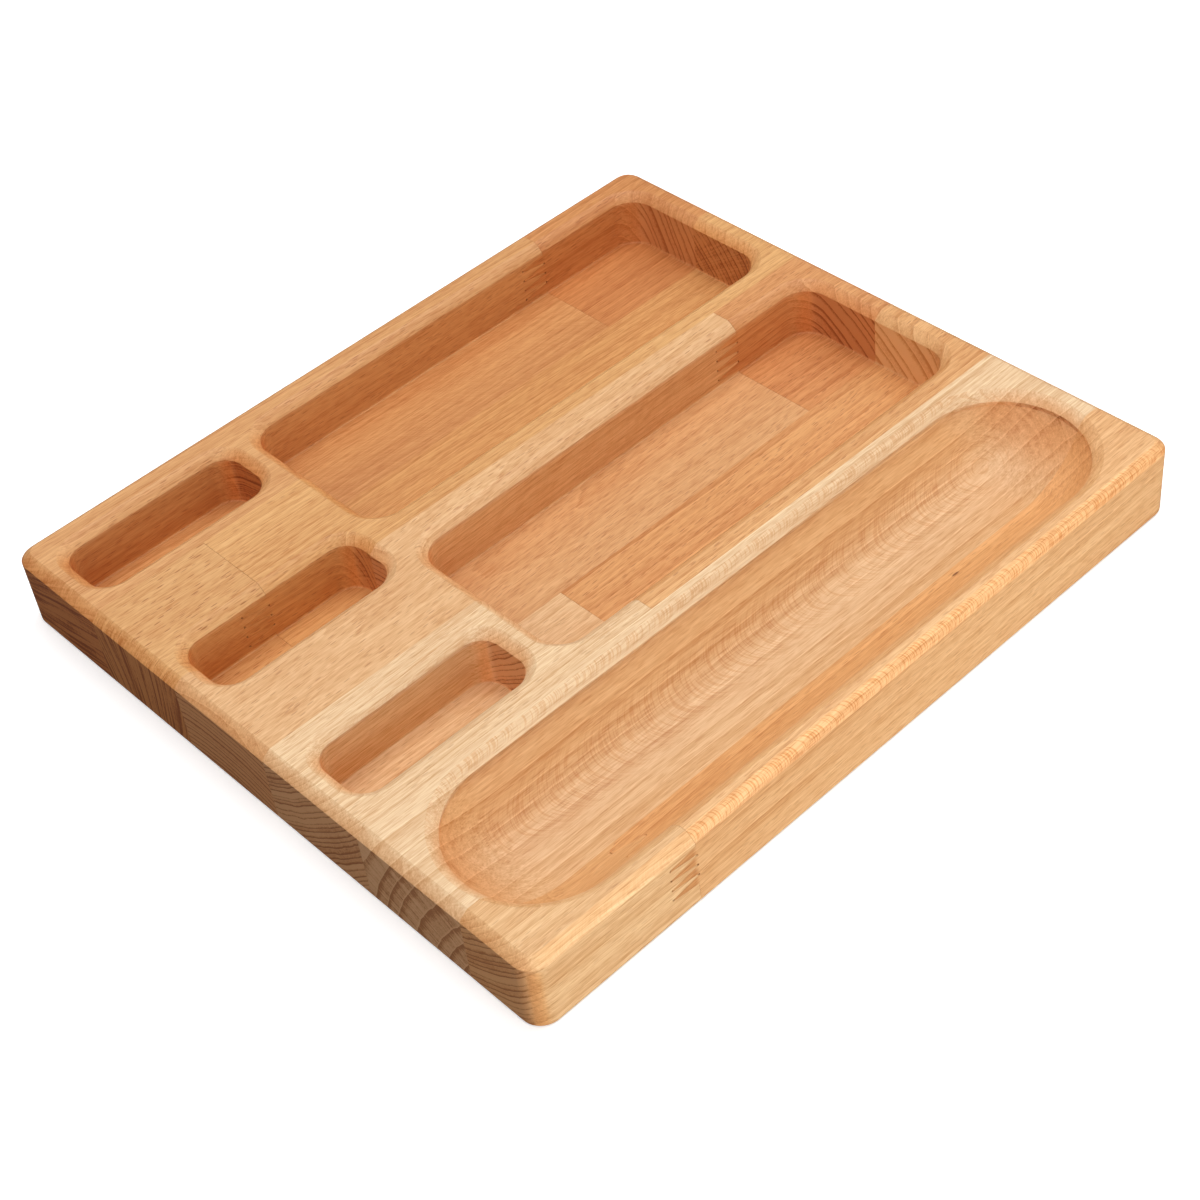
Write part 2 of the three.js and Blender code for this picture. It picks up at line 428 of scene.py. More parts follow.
# %% Rip the board along its glue lines
STAVES = {
    "stave_1": ("stave_1_front", "stave_1_rear"),
    "stave_2": ("stave_2_front", "stave_2_rear"),
    "stave_3": ("stave_3_front", "stave_3_rear"),
    "stave_4": ("stave_4_front", "stave_4_rear"),
    "stave_5": ("stave_5",),
    "stave_6": ("stave_6_front", "stave_6_rear"),
}


def copy_of(piece, name):
    take(piece)
    bpy.ops.object.duplicate()
    bpy.context.object.name = name
    return bpy.context.object


def cut_away(piece, place, normal):
    take(piece)
    bpy.ops.object.mode_set(mode="EDIT")
    bpy.ops.mesh.select_all(action="SELECT")
    bpy.ops.mesh.bisect(
        plane_co=place, plane_no=normal, use_fill=True, clear_outer=True, threshold=TINY / 10
    )
    done()


staves = {}
for name, blocks in STAVES.items():
    low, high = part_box(blocks[0])
    stave = copy_of(board, name)
    if low.x > cad_low.x + MM:
        cut_away(stave, (low.x, 0, 0), (-1, 0, 0))
    if high.x < cad_high.x - MM:
        cut_away(stave, (high.x, 0, 0), (1, 0, 0))
    staves[name] = stave
    print(faces_of(stave))
bpy.data.objects.remove(board)

# %% [markdown]
# ## Finger joints
#
# Short blocks are joined into long staves with tapered fingers, cut by a stack of
# blades and pressed together with glue. The hollows cut through some of the joints
# and lay the zigzag open. The tool is a box whose front face is sliced at the fingers'
# heights, and the strips at their tips are pulled forward. The same tool, a hair
# further forward, cuts the other block, so that a fine dark line stays between them.
# Real fingers never bottom out, so that the glue can escape: each tip gets a small gap,
# which shows as a dark dot where a joint is laid open.

# %% Cut the staves into blocks
FINGER_COUNT = 4
FINGER_PITCH = 4.2 * MM
FINGER_LENGTH = 10.1 * MM
FINGER_TIP = 0.6 * MM
FINGER_BASE = 7.4 * MM
TIP_GAP = 0.5 * MM
GLUE_LINE = 0.09 * MM
OVERCUT = 2 * MM


def finger_tool(left, right, shoulder, finger_length, root_depth):
    low = (left - OVERCUT, shoulder, cad_low.z - OVERCUT)
    high = (right + OVERCUT, cad_high.y + OVERCUT, TOP + OVERCUT)
    tool = box("fingers", low, high)
    flat = FINGER_TIP / 2
    roots = [FINGER_BASE + finger * FINGER_PITCH for finger in range(FINGER_COUNT + 1)]
    tips = [root + FINGER_PITCH / 2 for root in roots[:-1]]
    heights = sorted(middle + side for middle in roots + tips for side in (-flat, flat))
    bpy.ops.object.mode_set(mode="EDIT")
    for height in heights[1:-1]:
        bpy.ops.mesh.select_all(action="SELECT")
        bpy.ops.mesh.bisect(plane_co=(0, 0, height), plane_no=(0, 0, 1), threshold=TINY / 10)
    done()

    def front_points(middles):
        return lambda vertex: vertex.co.y < shoulder + TINY and any(
            abs(vertex.co.z - middle) < flat + TINY for middle in middles
        )

    pick(tool, "VERT", front_points(tips))
    bpy.ops.transform.translate(value=(0, -finger_length, 0))
    done()
    pick(tool, "VERT", front_points(roots[1:-1]))
    bpy.ops.transform.translate(value=(0, root_depth, 0))
    done()
    return tool


blocks = {}
for name, stave in staves.items():
    names = STAVES[name]
    if len(names) == 1:
        blocks[names[0]] = stave
        stave.name = names[0] + "_timber"
        continue
    front_name, rear_name = names
    low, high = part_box(front_name)
    front = copy_of(stave, front_name + "_timber")
    socket = finger_tool(low.x, high.x, high.y, FINGER_LENGTH + TIP_GAP / 2, 0)
    combine(front, socket, "DIFFERENCE")
    stave.name = rear_name + "_timber"
    finger = finger_tool(low.x, high.x, high.y + GLUE_LINE, FINGER_LENGTH - TIP_GAP / 2, TIP_GAP)
    combine(stave, finger, "INTERSECT")
    blocks[front_name] = front
    blocks[rear_name] = stave
print("blocks made:", len(blocks))

# %% [markdown]
# ## Clean surfaces
#
# The rounded lips have to shade softly, and the lines where they start and end have to
# stay crisp. Smooth shading by a small angle does both, and weighted normals let the
# large flat faces rule the shading along their edges.

# %% Smooth each block
SMOOTH_UP_TO = math.radians(15)

for block in blocks.values():
    clean(block)
    take(block)
    bpy.ops.object.shade_smooth_by_angle(angle=SMOOTH_UP_TO)
    weights = block.modifiers.new("flat faces rule", "WEIGHTED_NORMAL")
    weights.keep_sharp = True
    bpy.ops.object.modifier_apply(modifier=weights.name)
    block.data.materials.clear()
    mesh = bmesh.new()
    mesh.from_mesh(block.data)
    open_edges = sum(not edge.is_manifold for edge in mesh.edges)
    mesh.free()
    print(faces_of(block), "open edges:", open_edges)

# %% [markdown]
# ## Wood as a solid
#
# A picture of wood wrapped round a block shows at once that it is a picture: the end
# grain doesn't fit the sides. Timber is better made as a solid pattern that fills
# space, because then every cut through it, flat, curved or across, shows what a saw
# would show. All of it follows from one thing: how far a point lies from the pith of
# the tree, how far round the tree, and how far along the trunk.
#
# These helpers add nodes and groups in as few words as possible.

# %% Helpers for nodes and groups
def node(tree, kind, inputs=None, **settings):
    made = tree.nodes.new("ShaderNode" + kind)
    for name, value in settings.items():
        setattr(made, name, value)
    for socket, value in (inputs or {}).items():
        if isinstance(value, bpy.types.NodeSocket):
            tree.links.new(value, made.inputs[socket])
        else:
            made.inputs[socket].default_value = value
    return made


def group(name, inputs, outputs):
    tree = bpy.data.node_groups.new(name, "ShaderNodeTree")
    for label, kind in inputs.items():
        tree.interface.new_socket(label, in_out="INPUT", socket_type="NodeSocket" + kind)
    for label, kind in outputs.items():
        tree.interface.new_socket(label, in_out="OUTPUT", socket_type="NodeSocket" + kind)
    enter = tree.nodes.new("NodeGroupInput").outputs
    leave = tree.nodes.new("NodeGroupOutput").inputs
    return tree, enter, leave


def use(tree, used, inputs):
    return node(tree, "Group", inputs, node_tree=used).outputs


print("helpers for nodes and groups are ready")

# %% Helpers for sums
def calc(tree, operation, first, second=0.0):
    return node(tree, "Math", {0: first, 1: second}, operation=operation).outputs[0]


def times(tree, first, second):
    return calc(tree, "MULTIPLY", first, second)


def weigh(tree, value, factor, offset):
    return node(tree, "Math", {0: value, 1: factor, 2: offset}, operation="MULTIPLY_ADD").outputs[0]


def rest_of(tree, value):
    return weigh(tree, value, -1.0, 1.0)


def fade(tree, value, start, end):
    sockets = {"Value": value, "From Min": start, "From Max": end}
    return node(tree, "MapRange", sockets, interpolation_type="SMOOTHSTEP").outputs["Result"]


def vector(tree, x, y, z):
    return node(tree, "CombineXYZ", {0: x, 1: y, 2: z}).outputs[0]


def vector_calc(tree, operation, first, second=(0.0, 0.0, 0.0)):
    made = node(tree, "VectorMath", {0: first, 1: second}, operation=operation)
    return made.outputs["Value" if operation in ("LENGTH", "DOT_PRODUCT") else "Vector"]


def scaled(tree, first, factor):
    return node(tree, "VectorMath", {0: first, "Scale": factor}, operation="SCALE").outputs["Vector"]


def noise(tree, place, seed, detail):
    sockets = {"Vector": place, "W": seed, "Scale": 1.0, "Detail": detail}
    return node(tree, "TexNoise", sockets, noise_dimensions="4D").outputs


print("helpers for sums are ready")

# %% [markdown]
# ## Where a point lies in the tree
#
# This group turns a place on the tray into a place in the trunk, in millimetres: Out
# is the distance from the pith, Round runs along the growth ring, and Along runs with
# the grain. The pith leans, because no board is sawn quite true to its tree, and a
# slow noise lets the grain wander as it does round small hidden branches. Square says
# how squarely a face cuts the spokes: one where it crosses them, none where it runs
# along them.

# %% Group: trunk coordinates
WANDER_PER_MM = (0.02, 0.006, 0.02)
NOISE_MIDDLE = (0.5, 0.5, 0.5)

trunk, enter, leave = group(
    "trunk_coordinates",
    {
        "Pith X": "Float", "Pith Z": "Float", "Lean X": "Float", "Lean Z": "Float",
        "Reach": "Float", "Wander": "Float", "Seed": "Float",
    },
    {"Round": "Float", "Along": "Float", "Out": "Float", "Square": "Float"},
)
surface = node(trunk, "TexCoord").outputs
place = scaled(trunk, surface["Object"], 1 / MM)
slow = vector_calc(trunk, "MULTIPLY", place, WANDER_PER_MM)
drift = noise(trunk, slow, enter["Seed"], detail=2.0)["Color"]
drift = vector_calc(trunk, "SUBTRACT", drift, NOISE_MIDDLE)
place = vector_calc(trunk, "ADD", place, scaled(trunk, drift, enter["Wander"]))
axes = node(trunk, "SeparateXYZ", {0: place}).outputs
across = calc(trunk, "SUBTRACT", axes["X"], weigh(trunk, axes["Y"], enter["Lean X"], enter["Pith X"]))
above = calc(trunk, "SUBTRACT", axes["Z"], weigh(trunk, axes["Y"], enter["Lean Z"], enter["Pith Z"]))
angle = calc(trunk, "ARCTAN2", across, above)
spoke = vector_calc(trunk, "NORMALIZE", vector(trunk, across, 0.0, above))
square = vector_calc(trunk, "DOT_PRODUCT", spoke, surface["Normal"])
trunk.links.new(times(trunk, angle, enter["Reach"]), leave["Round"])
trunk.links.new(axes["Y"], leave["Along"])
trunk.links.new(vector_calc(trunk, "LENGTH", vector(trunk, across, above, 0.0)), leave["Out"])
trunk.links.new(calc(trunk, "ABSOLUTE", square), leave["Square"])
print("trunk_coordinates:", len(trunk.nodes), "nodes")

# %% [markdown]
# ## Growth rings
#
# A tree grows a pale, soft layer in spring and a dense, dark one in late summer, and
# then stops. So each ring darkens slowly outwards and ends at a sharp pale line. No
# two years are alike: a noise stretches the rings, and each gets a shade of its own.

# %% Group: growth rings
UNEVEN_PER_YEAR = 0.37
UNEVEN_YEARS = 2.2
RIPPLE_ACROSS = 0.16
RIPPLE_ALONG = 0.025
RIPPLE_SWING = 1.2
LATE_WOOD = (0.5, 1.0)
PALE_LINE = (0.12, 0.0)

rings, enter, leave = group(
    "growth_rings",
    {"Round": "Float", "Along": "Float", "Out": "Float", "Width": "Float", "Seed": "Float"},
    {"Late": "Float", "Line": "Float", "Year": "Float"},
)
years = calc(rings, "DIVIDE", enter["Out"], enter["Width"])
count = vector(rings, times(rings, years, UNEVEN_PER_YEAR), 0.0, 0.0)
years = weigh(rings, noise(rings, count, enter["Seed"], detail=1.0)["Fac"], UNEVEN_YEARS, years)
ripple = vector(
    rings,
    times(rings, enter["Round"], RIPPLE_ACROSS),
    times(rings, enter["Along"], RIPPLE_ALONG),
    times(rings, enter["Out"], RIPPLE_ACROSS),
)
swing = calc(rings, "DIVIDE", RIPPLE_SWING, enter["Width"])
years = weigh(rings, noise(rings, ripple, enter["Seed"], detail=2.0)["Fac"], swing, years)
season = calc(rings, "FRACT", years)
year = calc(rings, "ADD", calc(rings, "FLOOR", years), enter["Seed"])
luck = node(rings, "TexWhiteNoise", {"W": year}, noise_dimensions="1D").outputs["Value"]
rings.links.new(fade(rings, season, *LATE_WOOD), leave["Late"])
rings.links.new(fade(rings, season, *PALE_LINE), leave["Line"])
rings.links.new(luck, leave["Year"])
print("growth_rings:", len(rings.nodes), "nodes")

# %% [markdown]
# ## Rays
#
# Beech is known by its rays: thin upright ribbons of cells that run out from the pith
# like spokes. A cut across the spokes shows their ends as short brown dashes along the
# grain. Between the rays lie pores: fine needles along the grain, which show as thin
# dashes on every face but the ends. Both are cells of a Voronoi pattern, stretched along
# the grain. A cell fades out at its edge, only some cells count, and a dash also needs
# a face that cuts the spokes squarely enough.

# %% Group: rays, with dashes and pores
rays, enter, leave = group(
    "rays",
    {"Round": "Float", "Along": "Float", "Out": "Float", "Square": "Float", "Seed": "Float"},
    {"Dashes": "Float", "Pores": "Float", "Silk": "Float", "Spokes": "Float"},
)


def ribbon_place(tree, enter, round_size, along_size, out_size):
    return vector(
        tree,
        weigh(tree, enter["Round"], 1 / round_size, enter["Seed"]),
        weigh(tree, enter["Along"], 1 / along_size, enter["Seed"]),
        weigh(tree, enter["Out"], 1 / out_size, enter["Seed"]),
    )


for label, sizes, edge, rarity, needs in (
    ("Dashes", (0.60, 5.0, 9.0), (0.36, 0.18), (0.3, 0.8), (0.35, 0.8)),
    ("Pores", (0.42, 5.0, 0.42), (0.58, 0.30), (0.2, 0.9), (-0.2, -0.1)),
):
    place = ribbon_place(rays, enter, *sizes)
    cells = node(rays, "TexVoronoi", {"Vector": place, "Scale": 1.0}).outputs
    luck = node(rays, "SeparateColor", {0: cells["Color"]}).outputs[0]
    dash = times(rays, fade(rays, cells["Distance"], *edge), fade(rays, luck, *rarity))
    rays.links.new(times(rays, dash, fade(rays, enter["Square"], *needs)), leave[label])
print("rays so far:", len(rays.nodes), "nodes")

# %% [markdown]
# A cut along the spokes lays the ribbons open as silk: thin stripes across the grain.
# The ribbons lie a little aslant, so on a curved face the stripes bend into nested
# arcs. On end grain the spokes themselves show.

# %% Silk and spokes
SLANT = -6.0
STRIPES_PER_MM = 1.9
STRIPE_DRIFT = 0.16
STRIPE_EDGE = (0.50, 0.58)
SILK_NEEDS = (0.40, 0.12)
SPOKE_SIZES = (0.8, 40.0, 30.0)

aslant = weigh(rays, enter["Round"], SLANT, enter["Along"])
place = vector(rays, times(rays, aslant, STRIPES_PER_MM), times(rays, enter["Out"], STRIPE_DRIFT), 0.0)
stripes = fade(rays, noise(rays, place, enter["Seed"], detail=1.0)["Fac"], *STRIPE_EDGE)
rays.links.new(times(rays, stripes, fade(rays, enter["Square"], *SILK_NEEDS)), leave["Silk"])
spokes = noise(rays, ribbon_place(rays, enter, *SPOKE_SIZES), enter["Seed"], detail=3.0)
rays.links.new(spokes["Fac"], leave["Spokes"])
print("rays:", len(rays.nodes), "nodes")

# %% [markdown]
# ## Fibres
#
# Between rings and rays lie the fibres: long hair-thin streaks along the grain. Three
# noises, stretched along the trunk, give the hair, the broader streaks that catch the
# eye, and the slow change of tone that makes one side of a stave warmer.

# %% Group: fibres
fibres, enter, leave = group(
    "fibres",
    {"Round": "Float", "Along": "Float", "Out": "Float", "Seed": "Float"},
    {"Hair": "Float", "Streak": "Float", "Cloud": "Float"},
)
for label, thickness, length, detail in (
    ("Hair", 0.36, 7.0, 1.0),
    ("Streak", 1.2, 70.0, 2.0),
    ("Cloud", 14.0, 200.0, 1.0),
):
    place = vector(
        fibres,
        times(fibres, enter["Round"], 1 / thickness),
        times(fibres, enter["Along"], 1 / length),
        times(fibres, enter["Out"], 1 / thickness),
    )
    fibres.links.new(noise(fibres, place, enter["Seed"], detail)["Fac"], leave[label])
print("fibres:", len(fibres.nodes), "nodes")

# %% [markdown]
# ## Oiled beech
#
# This group brings the four together and gives the colour, the roughness and a fine
# relief. One tone per block is enough, because all other colours are shares of it. It is
# built in the next few cells: first the patterns, then where on the tray they count, and
# then what they do to the wood.

# %% Group: oiled beech, with its patterns
beech, enter, leave = group(
    "oiled_beech",
    {
        "Tone": "Color", "Pith X": "Float", "Pith Z": "Float", "Lean X": "Float", "Lean Z": "Float",
        "Reach": "Float", "Wander": "Float", "Ring Width": "Float", "Rings": "Float",
        "Dashes": "Float", "Pores": "Float", "Silk": "Float", "Thirst": "Float",
        "Joint": "Float", "Stain": "Float", "Seed": "Float",
    },
    {"Color": "Color", "Roughness": "Float", "Height": "Float"},
)
trunk_inputs = ("Pith X", "Pith Z", "Lean X", "Lean Z", "Reach", "Wander", "Seed")
in_trunk = use(beech, trunk, {label: enter[label] for label in trunk_inputs})
square = in_trunk["Square"]
spot = {label: in_trunk[label] for label in ("Round", "Along", "Out")}
spot["Seed"] = enter["Seed"]
ring = use(beech, rings, {**spot, "Width": enter["Ring Width"]})
ray = use(beech, rays, {**spot, "Square": square})
fibre = use(beech, fibres, spot)
print("patterns in oiled_beech:", len(beech.nodes), "nodes")

# %% [markdown]
# The face's direction says what kind of cut it is. A face that looks along the trunk is
# end grain, upright on the ends and walls, and sloping on the rims. The hollows lie below
# the top and inside the tray's right side. A face that looks up there is a floor, which
# gets painted shade, and one that looks to the right is a left wall, which gets a warmer
# painted shade.

# %% Which way a face looks
END_GRAIN_POWER = 1.5
END_WALL_FROM = (0.80, 0.96)
RIM_FROM = (0.30, 0.80)
FLOOR_FROM = (0.15, 0.6)
LEFT_WALL_FROM = (0.3, 0.8)
HOLLOW_TOP = 24.5 * MM

surface = node(beech, "TexCoord").outputs
facing = node(beech, "SeparateXYZ", {0: surface["Normal"]}).outputs
place = node(beech, "SeparateXYZ", {0: surface["Object"]}).outputs
along = calc(beech, "ABSOLUTE", facing["Y"])
end_grain = calc(beech, "POWER", along, END_GRAIN_POWER)
side_grain = rest_of(beech, end_grain)
end_wall = fade(beech, along, *END_WALL_FROM)
rim = times(beech, fade(beech, along, *RIM_FROM), rest_of(beech, end_wall))
inside = fade(beech, place["Z"], HOLLOW_TOP, HOLLOW_TOP - MM)
inside = times(beech, inside, fade(beech, place["X"], cad_high.x, cad_high.x - MM))
# painted shade: the floors of the hollows are darkened, as the shade in the recesses
floor_painted_shade = times(beech, inside, fade(beech, facing["Z"], *FLOOR_FROM))
# painted shade: the left walls of the hollows are warmed, as by orange bounce light in their shade
wall_painted_shade = times(beech, inside, fade(beech, facing["X"], *LEFT_WALL_FROM))
print("with the directions:", len(beech.nodes), "nodes")

# %% [markdown]
# One value from pale to deep sums up rings and fibres. Where a face lies along the rings,
# one ring fills it, so the rings count for less there. On upright end grain they count
# for more in blocks with strong rings, and the spokes show in the others, because both
# together would look like woven cloth.

# %% Shade of the wood
RING_SHADE = -0.28
YEAR_SHADE = 0.30
LINE_SHADE = -0.40
LATE_SHADE = 0.40
ALONG_RINGS = (0.75, 1.0)
ALONG_RINGS_LOSS = -0.6
STRONG_RINGS = (0.5, 0.8)
STRONG_RINGS_GAIN = 2.8
MIDDLE_SHADE = 0.45
FIBRE_SHADES = {"Hair": 1.2, "Streak": 1.0, "Cloud": 0.7}
SPOKE_SHADE = 8.0

ring_shade = weigh(beech, ring["Line"], LINE_SHADE, RING_SHADE)
ring_shade = weigh(beech, ring["Year"], YEAR_SHADE, ring_shade)
ring_shade = weigh(beech, ring["Late"], LATE_SHADE, ring_shade)
loss = weigh(beech, fade(beech, square, *ALONG_RINGS), ALONG_RINGS_LOSS, 1.0)
strong = fade(beech, enter["Rings"], *STRONG_RINGS)
gain = weigh(beech, times(beech, end_wall, strong), STRONG_RINGS_GAIN, 1.0)
ring_share = times(beech, times(beech, enter["Rings"], loss), gain)
shade = weigh(beech, ring_shade, ring_share, MIDDLE_SHADE)
for mask, weight in FIBRE_SHADES.items():
    shade = weigh(beech, fibre[mask], weight, calc(beech, "SUBTRACT", shade, weight / 2))
spokes = weigh(beech, ray["Spokes"], SPOKE_SHADE, -SPOKE_SHADE / 2)
spokes = times(beech, spokes, rest_of(beech, strong))
shade = weigh(beech, spokes, times(beech, end_grain, end_grain), shade)
shade = node(beech, "Clamp", {"Value": shade}).outputs[0]
print("with the shade:", len(beech.nodes), "nodes")

# %% [markdown]
# Every colour is the block's tone times a share of red, green and blue. End grain drinks
# more oil and looks darker and redder, more in some blocks than in others, and its dark
# lines drink most. The rims only turn warmer. The floors and left walls of the hollows
# get painted shade: the floors darker and redder, the left walls warmer, as shade and
# orange bounce light from the wood opposite fall there.

# %% Colour of the wood
PALE = (1.14, 1.20, 1.26, 1.0)
DEEP = (0.80, 0.61, 0.44, 1.0)
RAY = (0.60, 0.38, 0.26, 1.0)
PORE = (0.78, 0.60, 0.44, 1.0)
SILK = (0.84, 0.62, 0.42, 1.0)
END_GRAIN = (0.70, 0.40, 0.23, 1.0)
END_LINE = (0.70, 0.65, 0.60, 1.0)
END_LINE_FROM = (0.5, 1.0)
RIM = (1.0, 0.74, 0.54, 1.0)
# painted shade for the floors of the hollows: darker and redder
FLOOR_PAINTED_SHADE = (0.93, 0.83, 0.72, 1.0)
# painted shade for the left walls of the hollows: warmer
WALL_PAINTED_SHADE = (1.0, 0.91, 0.78, 1.0)


def tint(tree, colour, share, amount=1.0):
    sockets = {"Factor": amount, 6: colour, 7: share}
    return node(tree, "Mix", sockets, data_type="RGBA", blend_type="MULTIPLY").outputs[2]


def blend(tree, amount, first, second):
    return node(tree, "Mix", {"Factor": amount, 6: first, 7: second}, data_type="RGBA").outputs[2]


mark = {
    label: times(beech, times(beech, ray[label], enter[label]), side_grain)
    for label in ("Dashes", "Pores", "Silk")
}
colour = blend(beech, shade, tint(beech, enter["Tone"], PALE), tint(beech, enter["Tone"], DEEP))
colour = tint(beech, colour, SILK, mark["Silk"])
colour = tint(beech, colour, PORE, mark["Pores"])
colour = blend(beech, mark["Dashes"], colour, tint(beech, enter["Tone"], RAY))
soaked = times(beech, end_wall, enter["Thirst"])
colour = tint(beech, colour, END_GRAIN, soaked)
colour = tint(beech, colour, END_LINE, times(beech, soaked, fade(beech, shade, *END_LINE_FROM)))
colour = tint(beech, colour, RIM, times(beech, rim, enter["Thirst"]))
# painted shade on the floors of the hollows
colour = tint(beech, colour, FLOOR_PAINTED_SHADE, floor_painted_shade)
# painted shade on the left walls of the hollows
colour = tint(beech, colour, WALL_PAINTED_SHADE, wall_painted_shade)
print("with the colour:", len(beech.nodes), "nodes")

# %% [markdown]
# Two small marks make the wood this tray's own. Glue has darkened the fingers that show
# on the right side, and a small dark knot lies in the trough.

# %% Stained fingers and a knot
STAINED = (0.80, 0.64, 0.50, 1.0)
STAIN_LENGTH = 9.5 * MM
STAINED_SIDE = (0.5, 0.9)
KNOT = (0.30, 0.17, 0.11, 1.0)
KNOT_PLACE = (99.9 * MM, 62.9 * MM, 10.0 * MM)
KNOT_REACH = (0.7 * MM, 2.0 * MM, 3.0 * MM)
KNOT_EDGE = (1.0, 0.4)

stain = calc(beech, "SUBTRACT", place["Y"], enter["Joint"])
stain = fade(beech, stain, STAIN_LENGTH + MM, STAIN_LENGTH - MM)
stain = times(beech, stain, fade(beech, facing["X"], *STAINED_SIDE))
colour = tint(beech, colour, STAINED, times(beech, stain, enter["Stain"]))
from_knot = vector_calc(beech, "SUBTRACT", surface["Object"], KNOT_PLACE)
from_knot = vector_calc(beech, "LENGTH", vector_calc(beech, "DIVIDE", from_knot, KNOT_REACH))
colour = tint(beech, colour, KNOT, fade(beech, from_knot, *KNOT_EDGE))
beech.links.new(colour, leave["Color"])
print("with the marks:", len(beech.nodes), "nodes")

# %% [markdown]
# The same masks vary the gloss and raise a very fine relief: rays are harder than the
# wood round them, so they shine and stand a little proud.

# %% Gloss and relief
ROUGHNESS = 0.42
HAIR_ROUGHNESS = 0.22
END_ROUGHNESS = 0.08
RAY_ROUGHNESS = -0.08
HAIR_RELIEF = 0.6
PORE_RELIEF = -0.1
RAY_RELIEF = 0.3

rough = weigh(beech, fibre["Hair"], HAIR_ROUGHNESS, ROUGHNESS)
rough = weigh(beech, end_grain, END_ROUGHNESS, rough)
rough = weigh(beech, mark["Dashes"], RAY_ROUGHNESS, rough)
relief = weigh(beech, fibre["Hair"], HAIR_RELIEF, times(beech, mark["Pores"], PORE_RELIEF))
relief = weigh(beech, mark["Dashes"], RAY_RELIEF, relief)
beech.links.new(rough, leave["Roughness"])
beech.links.new(relief, leave["Height"])
print("oiled_beech:", len(beech.nodes), "nodes")

# %% [markdown]
# ## Eleven pieces of timber
#
# Each block's values say how it was sawn. The spoke angle is the direction of the
# rays as they show on the front end, from level to the right towards upright, and the
# reach is how far away the pith lies. The lean is how far it leans to the right and up
# along the grain, and ring width is how fast that tree grew. The next four values say
# how strongly rings, dashes, pores and silk show, thirst is how much oil the end grain
# drinks, and the seed sets the blocks apart. The tones run from the warm left to the
# pale right of the panel. They are written as they look on a screen, so they are turned
# into amounts of light first.

# %% Materials of the blocks
WANDER = 5.0
SHEEN = 0.5
BUMP_DEPTH = 0.06 * MM
BUMP_STRENGTH = 0.6
GLUE_STAINED = {"stave_6_rear"}


def from_hex(text):
    shown = Color([int(text[i:i + 2], 16) / 255 for i in (0, 2, 4)])
    return [*shown.from_srgb_to_scene_linear(), 1.0]


def timber(name, tone, spoke, reach, lean, ring_width, ring_share, dashes, pores, silk, thirst, seed):
    low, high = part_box(name)
    middle = (low + high) / 2 / MM
    spoke = math.radians(spoke)
    lean_x, lean_z = lean
    material = bpy.data.materials.new(name + "_beech")
    material.use_nodes = True
    tree = material.node_tree
    shader = tree.nodes["Principled BSDF"]
    wood = use(tree, beech, {
        "Tone": from_hex(tone),
        "Pith X": middle.x - reach * math.cos(spoke) - lean_x * middle.y,
        "Pith Z": middle.z - reach * math.sin(spoke) - lean_z * middle.y,
        "Lean X": lean_x,
        "Lean Z": lean_z,
        "Reach": reach,
        "Wander": WANDER,
        "Ring Width": ring_width,
        "Rings": ring_share,
        "Dashes": dashes,
        "Pores": pores,
        "Silk": silk,
        "Thirst": thirst,
        "Joint": low.y,
        "Stain": 1.0 if name in GLUE_STAINED else 0.0,
        "Seed": seed,
    })
    tree.links.new(wood["Color"], shader.inputs["Base Color"])
    tree.links.new(wood["Roughness"], shader.inputs["Roughness"])
    shader.inputs["Specular IOR Level"].default_value = SHEEN
    bump_inputs = {"Height": wood["Height"], "Distance": BUMP_DEPTH, "Strength": BUMP_STRENGTH}
    tree.links.new(node(tree, "Bump", bump_inputs).outputs[0], shader.inputs["Normal"])
    return material


# Each row gives the values in the order in which timber() names them.
TIMBER = {
    "stave_1_front": ("dca46b", 12, 140, (0.02, 0.01), 2.6, 0.5, 0.7, 0.6, 0.2, 0.9, 1.3),
    "stave_1_rear": ("d59359", 26, 120, (-0.02, 0.02), 3.0, 0.8, 0.8, 0.6, 0.2, 0.25, 2.7),
    "stave_2_front": ("dfab70", 88, 90, (0.01, 0.02), 4.0, 0.4, 1.0, 0.6, 0.2, 0.85, 3.1),
    "stave_2_rear": ("e0aa6d", 30, 110, (0.015, -0.02), 2.4, 0.7, 0.7, 0.6, 0.2, 0.75, 4.9),
    "stave_3_front": ("e6b784", 86, 80, (-0.02, 0.03), 2.2, 0.8, 0.6, 0.6, 0.1, 0.75, 5.2),
    "stave_3_rear": ("dc9d64", 55, 90, (0.02, 0.02), 3.6, 0.9, 0.7, 0.6, 0.2, 0.6, 6.6),
    "stave_4_front": ("eecb9f", -53, 120, (0.02, 0.02), 1.8, 0.75, 0.5, 0.5, 0.2, 0.8, 8.1),
    "stave_4_rear": ("e5ae74", 45, 100, (-0.02, 0.03), 4.6, 0.8, 0.7, 0.6, 0.2, 0.0, 8.8),
    "stave_5": ("efcda2", 152, 130, (0.01, 0.01), 6.0, 0.68, 0.3, 0.5, 0.5, 0.7, 9.5),
    "stave_6_front": ("ebbe89", -58, 110, (0.01, -0.02), 1.9, 0.75, 0.4, 0.5, 0.2, 0.65, 10.1),
    "stave_6_rear": ("ecb981", 150, 110, (-0.01, 0.02), 3.2, 0.7, 0.5, 0.6, 0.9, 0.15, 11.9),
}
for name, values in TIMBER.items():
    blocks[name].data.materials.append(timber(name, *values))
print("materials:", len(TIMBER))

# %% [markdown]
# ## Fasten the blocks to the frame
#
# Nothing on this tray moves, so every block rides on the one body of the frame. Each
# takes the place of its construction solid, which is hidden.

# %% Ride and replace
for name, block in blocks.items():
    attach(block, "root")
    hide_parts(name)

